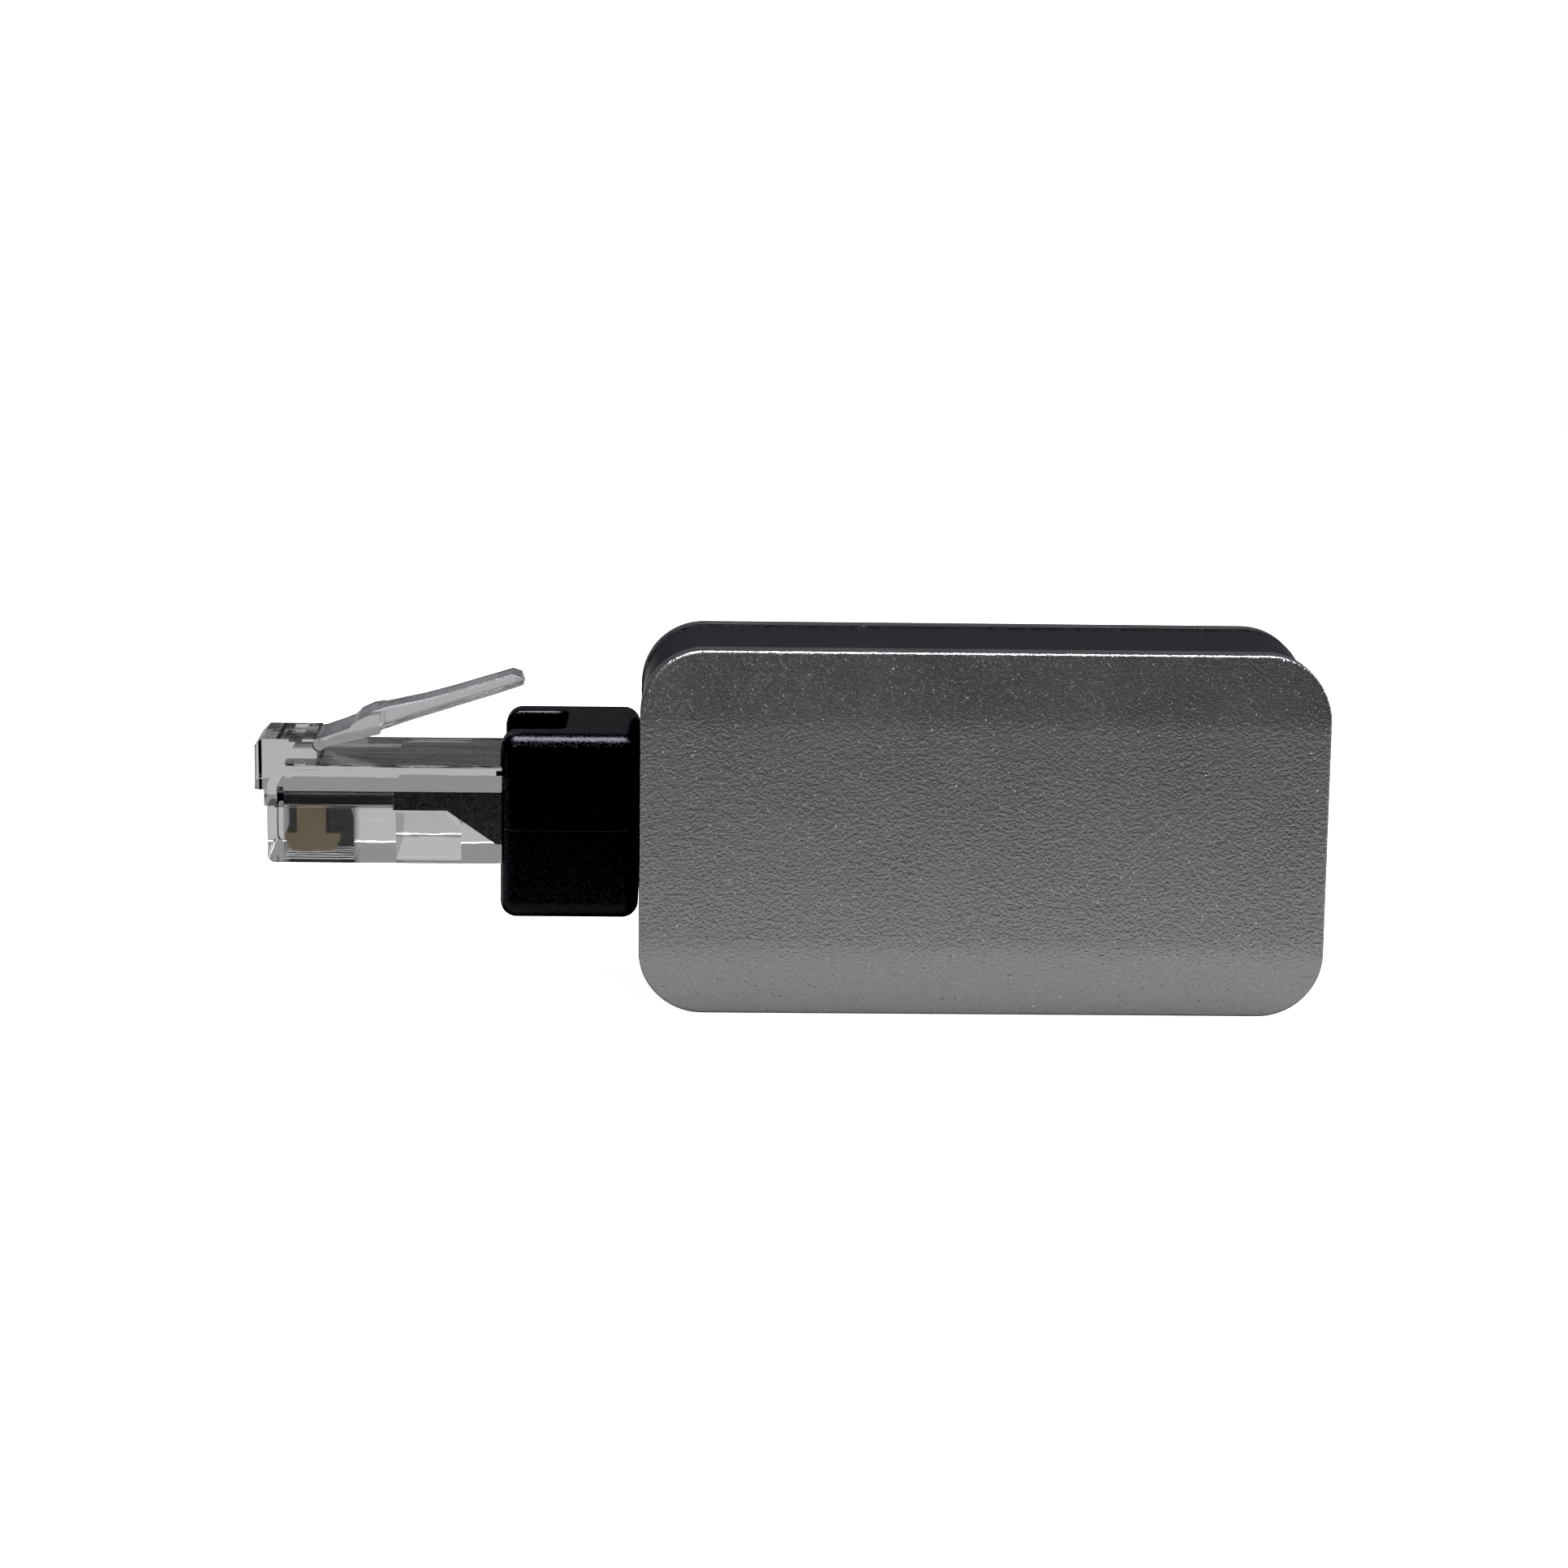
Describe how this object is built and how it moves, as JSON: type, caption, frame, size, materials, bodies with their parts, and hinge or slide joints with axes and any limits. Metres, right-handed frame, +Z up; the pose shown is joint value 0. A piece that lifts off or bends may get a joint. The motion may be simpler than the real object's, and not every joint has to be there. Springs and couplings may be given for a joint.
{
  "type": "inline network adapter",
  "caption": "Slim rounded case with silver covers and a dark frame, a clear modular plug with a latch on a black collar at one end and a modular socket at the other.",
  "frame": {"origin": "bottom centre of the whole adapter, standing on the long edges of its covers", "axes": "+X along the adapter from the plug's nose to the socket, +Y through its thickness from the front cover to the rear cover, +Z up, the side the plug's latch is on"},
  "size_m": [0.0716, 0.015, 0.0245],
  "materials": {
    "cover_silver": "satin silver-grey metallic with a fine orange-peel grain",
    "frame_black": "glossy charcoal-black moulding",
    "plug_clear": "clear, slightly grey, polished",
    "latch_clear": "clear, slightly clouded",
    "collar_black": "black with a fine moulded grain",
    "clip_black": "plain black moulding",
    "board_green": "green solder mask over glass laminate",
    "screw_steel": "plated steel",
    "solder": "bright solder",
    "module_black": "moulded epoxy",
    "lead_tin": "tin-plated",
    "chip_black": "moulded epoxy",
    "capacitor_tan": "fired ceramic with plated ends",
    "resistor_black": "glazed thick film",
    "jack_black": "satin black moulding",
    "contact_gold": "gold-plated, dulled",
    "wire_black": "black insulation",
    "lead_gold": "gold flash over bronze",
    "spring_gold": "gold-plated bronze"
  },
  "bodies": {
    "case": {"front_cover": "cover_silver", "rear_cover": "cover_silver", "mid_frame": "frame_black", "plug_housing": "plug_clear", "plug_collar": "collar_black", "collar_clip": "clip_black", "circuit_board": "board_green", "board_screws": "screw_steel", "wire_joints": "solder", "magnetics_module": "module_black", "magnetics_leads": "lead_tin", "surge_array": "chip_black", "high_voltage_capacitors": "capacitor_tan", "termination_resistors": "resistor_black", "jack_housing": "jack_black", "contact_blade_1": "contact_gold", "contact_blade_2": "contact_gold", "contact_blade_3": "contact_gold", "contact_blade_4": "contact_gold", "contact_blade_5": "contact_gold", "contact_blade_6": "contact_gold", "contact_blade_7": "contact_gold", "contact_blade_8": "contact_gold", "core_wire_1": "wire_black", "core_wire_2": "wire_black", "core_wire_3": "wire_black", "core_wire_4": "wire_black", "core_wire_5": "wire_black", "core_wire_6": "wire_black", "core_wire_7": "wire_black", "core_wire_8": "wire_black", "contact_lead_1": "lead_gold", "contact_lead_2": "lead_gold", "contact_lead_3": "lead_gold", "contact_lead_4": "lead_gold", "contact_lead_5": "lead_gold", "contact_lead_6": "lead_gold", "contact_lead_7": "lead_gold", "contact_lead_8": "lead_gold"},
    "latch": {"latch_lever": "latch_clear"},
    "socket_springs": {"contact_spring_1": "spring_gold", "contact_spring_2": "spring_gold", "contact_spring_3": "spring_gold", "contact_spring_4": "spring_gold", "contact_spring_5": "spring_gold", "contact_spring_6": "spring_gold", "contact_spring_7": "spring_gold", "contact_spring_8": "spring_gold"}
  },
  "joints": [
    {"name": "latch_press", "type": "hinge", "parent": "case", "child": "latch", "pos_m": [-0.03145, 0, 0.0173], "axis": [0, 1, 0], "range_deg": [0, 14], "stiffness_Nm_per_rad": 0.1},
    {"name": "contact_press", "type": "hinge", "parent": "case", "child": "socket_springs", "pos_m": [0.032, -0.00493, 0.01225], "axis": [0, 0, 1], "range_deg": [0, 13], "stiffness_Nm_per_rad": 0.27}
  ]
}
